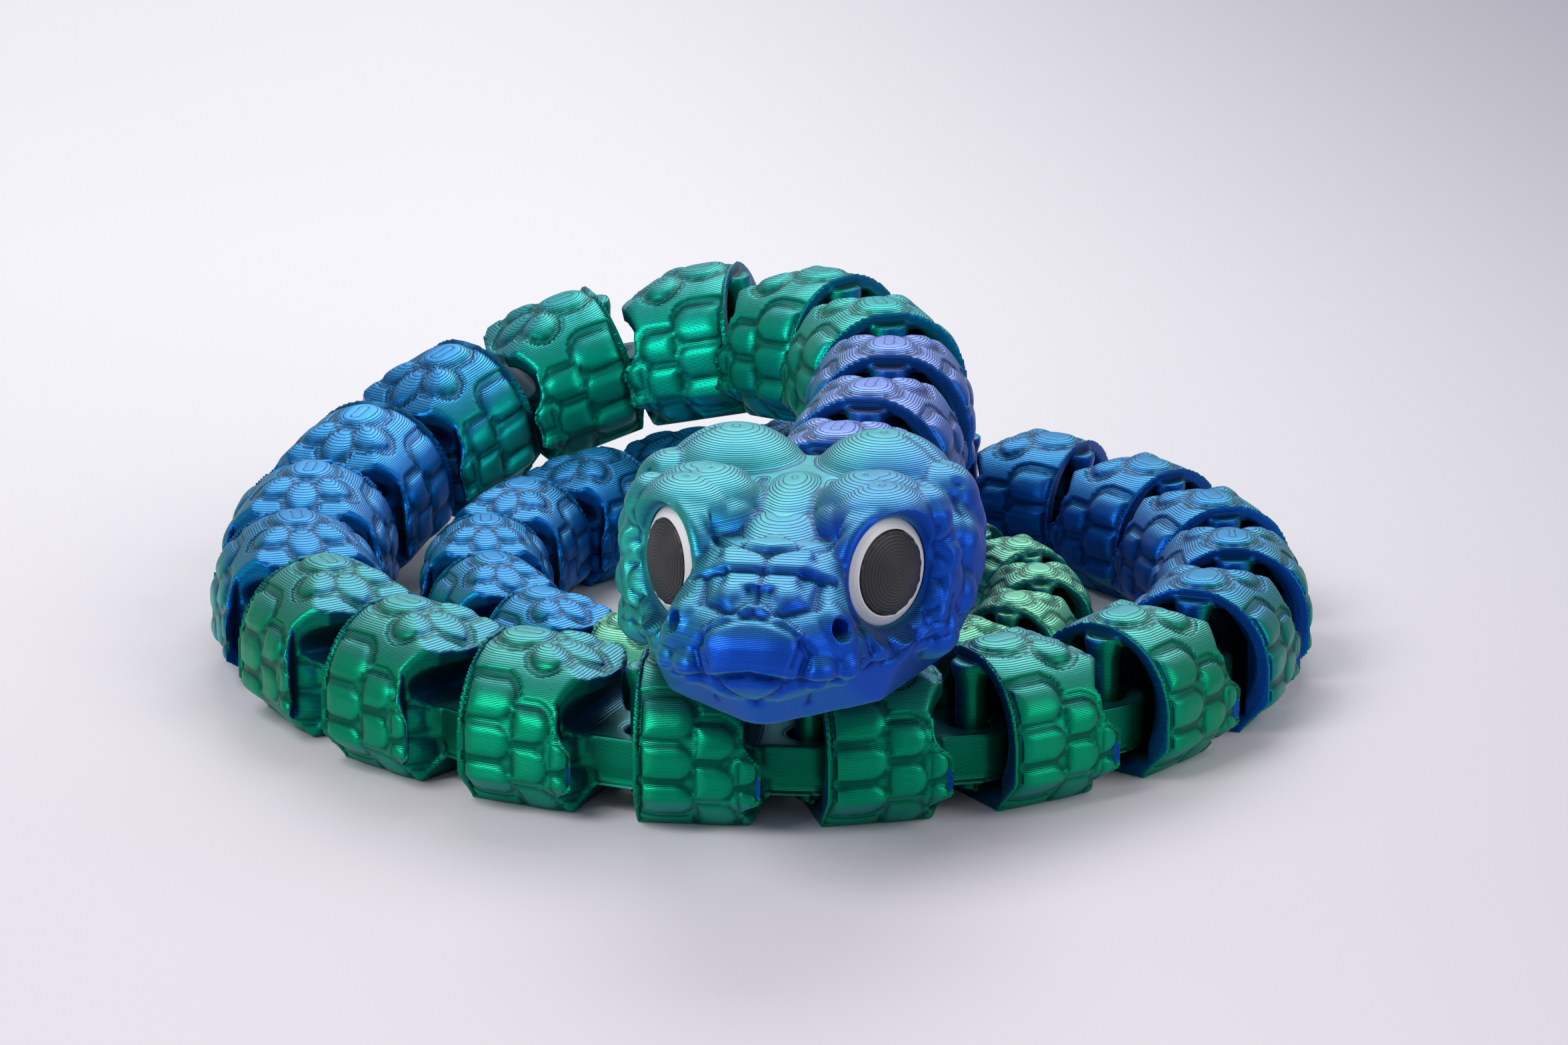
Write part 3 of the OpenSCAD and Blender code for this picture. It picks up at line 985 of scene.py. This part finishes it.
class Palette:
    """The toy's materials."""

    metal: float = 0.8
    sheen: float = 0.15
    bump: float = 0.8
    streak_lean: float = 0.5
    # Flatness at which the painted highlight of the tops starts and is full, and its share.
    highlight_from: float = 0.35
    highlight_full: float = 0.92
    highlight_share: float = 0.75
    # How dark the painted shadow lines at layer edges get, more where the surface lies flatter.
    edge_shade_share: float = 0.42
    edge_shade_more: float = 0.4
    # How dark the painted shade in creases gets.
    groove_share: float = 0.7
    # How dark the painted shade on the inner surfaces gets.
    inside_shade_share: float = 0.93
    rough_swing: float = 0.16
    # Share of the colour left in the painted shadow lines of plain prints.
    plain_edge_shade: float = 0.35

    def __init__(self) -> None:
        """Prepares the group that all prints share."""
        self.layers = LayerLines()

    def begun(self, name: str, strength: float) -> Dressing:
        """Starts a material in which the print's layers stand out with a strength."""
        material, nodes, shader = surface(name)
        layers = nodes.add("ShaderNodeGroup", node_tree=self.layers.group)
        nodes.link(nodes.attribute("print_place", "Vector"), layers.inputs["Place"])
        bump = nodes.add("ShaderNodeBump")
        bump.inputs["Strength"].default_value = strength
        bump.inputs["Distance"].default_value = LAYER * MM
        nodes.link(layers.outputs["Height"], bump.inputs["Height"])
        nodes.link(bump.outputs[0], shader.inputs["Normal"])
        return Dressing(material, nodes, shader, layers)

    def silk(self, name: str, finish: Silk) -> Material:
        """Material of a silk print, from the finish's colours, with a painted highlight on the tops
        and painted shade in the layer edges, creases and hollows.
        """
        made = self.begun(name, self.bump)
        nodes, shader, layers = made.nodes, made.shader, made.layers
        flatness = nodes.attribute("flatness")
        nodes.link(flatness, layers.inputs["Flatness"])
        streak = layers.outputs["Streak"]
        streaky = nodes.math("SUBTRACT", streak, 0.5)
        lean = nodes.math("MULTIPLY_ADD", streaky, self.streak_lean, nodes.attribute("lean"))
        change, blend = finish.second_from, finish.blend
        second = nodes.ease(lean, change - blend, change + blend)
        base = nodes.mix(second, finish.main, finish.second)
        # Painted highlight: level surfaces turn towards the lighter top colour.
        shallow = nodes.ease(flatness, self.highlight_from, self.highlight_full)
        topped = nodes.mix(nodes.math("MULTIPLY", shallow, self.highlight_share), base, finish.top_highlight)
        # Painted shadow lines along the layer edges, darker where the surface lies flatter.
        edge_shade_share = nodes.math("MULTIPLY_ADD", shallow, self.edge_shade_more, self.edge_shade_share)
        edge = nodes.math("MULTIPLY", layers.outputs["EdgeShade"], edge_shade_share)
        lined = nodes.mix(edge, topped, finish.groove)
        # Painted shade in the creases and between the scales.
        dark = nodes.math("MULTIPLY", nodes.attribute("groove"), self.groove_share)
        creased = nodes.mix(dark, lined, finish.groove)
        # Painted shade inside the links.
        inside_shade = nodes.math("MULTIPLY", nodes.attribute("inside_shade"), self.inside_shade_share)
        nodes.link(nodes.mix(inside_shade, creased, finish.groove), shader.inputs["Base Color"])
        smoothest = finish.roughness - self.rough_swing / 2
        rough = nodes.math("MULTIPLY_ADD", streak, self.rough_swing, smoothest)
        nodes.link(rough, shader.inputs["Roughness"])
        shader.inputs["Metallic"].default_value = self.metal
        shader.inputs["Specular IOR Level"].default_value = self.sheen
        return made.material

    def plain(self, name: str, colour: Colour, rough: float, grain: float) -> Material:
        """Material of a plain print, with painted shadow lines at its layer edges; grain says how
        strongly its fine layers show.
        """
        made = self.begun(name, grain)
        made.layers.inputs["Flatness"].default_value = 0.0
        # Painted shadow lines along the layer edges.
        darker = tuple(c * self.plain_edge_shade for c in colour)
        edge = made.nodes.math("MULTIPLY", made.layers.outputs["EdgeShade"], grain)
        made.nodes.link(made.nodes.mix(edge, colour, darker), made.shader.inputs["Base Color"])
        made.shader.inputs["Roughness"].default_value = rough
        return made.material


# The toy


LEAF_GREEN = (0.0, 0.4, 0.19)
SEA_BLUE = (0.004, 0.11, 0.58)
# Dark colours of painted shade.
SHADE_DARK_BLUE = (0.0, 0.012, 0.05)
SHADE_DARK_GREEN = (0.0, 0.035, 0.035)


class Shade(Enum):
    """Silk finishes along the toy: main and second colours, the colour of the painted highlight on
    tops, the dark colour of painted shade, and their balance.
    """

    HEAD = Silk((0.04, 0.54, 0.4), (0.01, 0.1, 0.66), (0.06, 0.36, 0.46), (0.0, 0.02, 0.16), 0.38)
    GREEN = Silk(LEAF_GREEN, SEA_BLUE, (0.06, 0.4, 0.42), SHADE_DARK_GREEN, 0.62)
    BLUE = Silk((0.0, 0.42, 0.38), (0.0, 0.18, 0.7), (0.03, 0.32, 0.66), SHADE_DARK_BLUE, 0.42)
    # Painted light: silk_green made lighter for the back links further off.
    BACK = Silk((0.0, 0.56, 0.36), (0.0, 0.2, 0.52), (0.03, 0.5, 0.5), SHADE_DARK_GREEN, 0.56)
    TEAL = Silk((0.0, 0.34, 0.24), SEA_BLUE, (0.02, 0.3, 0.55), SHADE_DARK_BLUE, 0.46)
    MINT = Silk((0.06, 0.56, 0.32), (0.0, 0.22, 0.3), (0.2, 0.6, 0.4), SHADE_DARK_GREEN, 0.7)
    LILAC = Silk((0.02, 0.34, 0.6), (0.02, 0.16, 0.7), (0.24, 0.34, 0.8), SHADE_DARK_BLUE, 0.45)
    PALE = Silk((0.35, 0.68, 0.7), (0.25, 0.55, 0.7), (0.5, 0.75, 0.75), (0.1, 0.3, 0.4), 0.6)

    @property
    def finish(self) -> str:
        """Name of its material."""
        return f"silk_{self.name.lower()}"

    @property
    def slot(self) -> str:
        """The record's slot; the back links' shade is silk_green lightened with painted light, for
        links further off.
        """
        return (Shade.GREEN if self is Shade.BACK else self).finish


LAST_LINKS = {
    3: Shade.LILAC,
    7: Shade.BACK,
    11: Shade.BLUE,
    18: Shade.GREEN,
    24: Shade.TEAL,
    31: Shade.BLUE,
}
NEAR_LINKS = range(10, 21)
SEEN_LINKS = (range(1, 25), range(27, 33))
EYE_WHITE = (0.83, 0.83, 0.84)
PUPIL_DARK = (0.035, 0.035, 0.038)
HEAD_MIDDLE = (-30, 0, 12)  # where the head's two colours lean from, in its own millimetres
HEAD_LEAN = (-0.3, -0.32, -0.3)  # the way in which they change
HEAD_PLACE_SHARE = 0.6  # how far the place counts, against the normal
HEAD_BALANCE = 0.45


@dataclass
class Toy:
    """The whole snake: its parts are built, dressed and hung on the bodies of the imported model.

    The links up to number turned_until lie behind, and show the camera their left sides.
    """

    chain: Chain = field(default_factory=Chain)
    palette: Palette = field(default_factory=Palette)
    silks: dict[str, Material] = field(default_factory=dict)
    turned_until: int = 8

    def __post_init__(self) -> None:
        """Prepares the form that all links share."""
        self.link = LinkForm(self.chain)

    def silk(self, shade: Shade) -> Material:
        """Material of a shade, made when it is first asked for."""
        if shade.name not in self.silks:
            self.silks[shade.name] = self.palette.silk(shade.finish, shade.value)
        return self.silks[shade.name]

    @staticmethod
    def shade_of(i: int) -> Shade:
        """Shade of link i."""
        return next((shade for last, shade in LAST_LINKS.items() if i <= last), Shade.MINT)

    @staticmethod
    def grade_of(i: int) -> Grade:
        """Fineness of link i, finest where the camera is near."""
        if i in NEAR_LINKS:
            return Grade.NEAR
        return Grade.MIDDLE if any(i in links for links in SEEN_LINKS) else Grade.HIDDEN

    def hang(
        self,
        node: str,
        mesh: Mesh,
        stand: Stand,
        body: str,
        slot: str,
        material: Material,
    ) -> None:
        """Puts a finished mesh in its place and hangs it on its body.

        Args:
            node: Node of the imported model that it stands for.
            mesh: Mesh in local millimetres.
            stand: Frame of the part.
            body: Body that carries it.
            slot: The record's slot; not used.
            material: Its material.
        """
        name = f"{node}_print"
        mesh.name = name
        co, normal = mesh_rows(mesh)
        if "print_place" not in mesh.attributes:
            set_place(mesh, "print_place", co * stand.share)
        set_mask(mesh, "flatness", np.abs(normal[:, 2]))
        set_rows(mesh, moved(co, stand.matrix))
        mesh.materials.clear()
        mesh.materials.append(material)
        mesh.shade_smooth()
        piece = shown(name, mesh)
        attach(piece, body)
        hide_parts(node)
        log.info("%s: %d faces", name, len(mesh.polygons))

    def links(self) -> None:
        """Builds the body links."""
        forms = {grade: self.link.build(grade) for grade in Grade}
        for i in range(1, self.chain.tail):
            shade = self.shade_of(i)
            name = f"link_{i:02d}"
            mesh = forms[self.grade_of(i)].copy()
            self.link.tint(mesh, 1 if i <= self.turned_until else -1)
            self.hang(name, mesh, self.chain.link(i), f"{name}_body", shade.slot, self.silk(shade))

    def tip(self) -> None:
        """Builds the tail tip."""
        mesh = TipForm(self.link).build()
        self.link.tint(mesh)
        shade = Shade.PALE
        self.hang("tail_tip", mesh, self.chain.tip(), "tail_body", shade.slot, self.silk(shade))

    def head(self) -> None:
        """Builds the head and its eyes."""
        form = HeadForm(self.chain)
        stand = self.chain.head()
        mesh = form.build()
        co, normal = mesh_rows(mesh)
        away = co - HEAD_MIDDLE
        away /= np.linalg.norm(away, axis=1)[:, None]
        out = (1 - HEAD_PLACE_SHARE) * normal + HEAD_PLACE_SHARE * away
        lean = HEAD_BALANCE + out @ HEAD_LEAN - co[:, 1] / 90
        set_mask(mesh, "lean", np.clip(lean, 0, 1))
        # Painted shade in the head's creases.
        set_mask(mesh, "groove", smooth(0.004, 0.045, cavity(mesh)))
        # No painted shade of hollows on the head.
        set_mask(mesh, "inside_shade", np.zeros(len(co)))
        self.hang("head", mesh, stand, "head_body", Shade.HEAD.slot, self.silk(Shade.HEAD))
        self.eyes(EyeForm(form), stand)

    def eyes(self, eye: EyeForm, stand: Stand) -> None:
        """Builds the eyes and pupils in the frame of the head."""
        plain = self.palette.plain
        kinds = (
            ("eye", eye.white, "eye_white", plain("eye_white", EYE_WHITE, 0.35, 0.1)),
            ("pupil", eye.pupil, "pupil_dark", plain("pupil_dark", PUPIL_DARK, 0.5, 1.0)),
        )
        for side, word in ((1, "left"), (-1, "right")):
            for kind, made, slot, finish in kinds:
                mesh = mesh_of(kind, made(side))
                set_place(mesh, "print_place", eye.rings(mesh, side))
                self.hang(f"{kind}_{word}", mesh, stand, "head_body", slot, finish)

    def build(self) -> None:
        """Builds every part of the toy."""
        self.links()
        self.tip()
        self.head()


# The studio


def aim(thing: Object, at: Point, target: Point) -> None:
    """Puts a camera or a lamp in its place and points it at a target."""
    look = Vector(target) - Vector(at)
    thing.location = at
    thing.rotation_euler = look.to_track_quat("-Z", "Y").to_euler()


@dataclass
class Studio:
    """Pale floor, soft light and the camera of the photograph."""

    eye: Point = (0.0895, -0.7316, 0.2676)
    target: Point = (0.0057, 0.1235, 0.0)
    lens: float = 138.8
    lit: Point = (0.0, 0.06, 0.02)
    floor_half: float = 6.0
    # Painted shading of the floor: darker near and towards the right, lighter far off.
    floor_near_shaded: Colour = (0.72, 0.68, 0.73)
    floor_far_lit: Colour = (0.9, 0.89, 0.92)
    floor_right_shade: Colour = (0.3, 0.29, 0.36)
    right_slant: float = 0.3
    right_shade_share: float = 0.92
    sky: Colour = (0.8, 0.8, 0.86)
    sky_light: float = 0.45

    def camera(self) -> None:
        """Sets the camera."""
        data = bpy.data.cameras.new("camera")
        data.lens = self.lens
        data.sensor_width = 36.0
        data.clip_start, data.clip_end = 0.01, 20.0
        camera = shown("camera", data)
        aim(camera, self.eye, self.target)
        bpy.context.scene.camera = camera

    def lamp(self, name: str, at: Point, size: float, watts: float) -> None:
        """Adds a square soft lamp that points at the toy."""
        data = bpy.data.lights.new(name, "AREA")
        data.energy = watts
        data.shape = "SQUARE"
        data.size = size
        aim(shown(name, data), at, self.lit)

    def floor(self) -> None:
        """Adds the floor that the toy lies on, with painted shading: darker near and towards the
        right, lighter far off.
        """
        form = bmesh.new()
        bmesh.ops.create_grid(form, x_segments=2, y_segments=2, size=self.floor_half)
        floor = new_object("studio_floor", form)
        material, nodes, shader = surface("studio_floor")
        at = nodes.add("ShaderNodeSeparateXYZ")
        nodes.link(nodes.add("ShaderNodeTexCoord").outputs["Object"], at.inputs[0])
        # Painted light: the floor grows lighter far off.
        far = nodes.ease(at.outputs["Y"], -0.1, 0.3)
        pale = nodes.mix(far, self.floor_near_shaded, self.floor_far_lit)
        # Painted shade towards the right.
        aslant = nodes.math("MULTIPLY_ADD", at.outputs["Y"], self.right_slant, at.outputs["X"])
        right = nodes.math("MULTIPLY", nodes.ease(aslant, 0.02, 0.36), self.right_shade_share)
        nodes.link(nodes.mix(right, pale, self.floor_right_shade), shader.inputs["Base Color"])
        shader.inputs["Roughness"].default_value = 0.6
        floor.data.materials.append(material)

    def world(self) -> None:
        """Sets a pale lilac world."""
        world = bpy.data.worlds.new("studio")
        world.use_nodes = True
        nodes = Nodes(world.node_tree)
        background = nodes.add("ShaderNodeBackground")
        output = nodes.add("ShaderNodeOutputWorld")
        background.inputs["Color"].default_value = (*self.sky, 1)
        background.inputs["Strength"].default_value = self.sky_light
        nodes.link(background.outputs[0], output.inputs["Surface"])
        bpy.context.scene.world = world

    def build(self) -> None:
        """Sets up the whole studio."""
        bpy.context.scene.view_settings.view_transform = "Standard"
        self.camera()
        self.lamp("key_lamp", (-0.45, -0.35, 0.75), 0.5, 5.0)
        self.lamp("fill_lamp", (0.7, -0.1, 0.6), 0.5, 2.2)
        self.lamp("back_lamp", (0.0, 0.8, 0.7), 0.6, 3.0)
        self.floor()
        self.world()


def write_size() -> None:
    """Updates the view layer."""
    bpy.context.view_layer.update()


def main() -> None:
    """Builds the studio and the toy."""
    logging.basicConfig(level=logging.INFO, format="%(name)s: %(message)s")
    Studio().build()
    Toy().build()
    write_size()


if __name__ == "__main__":
    main()
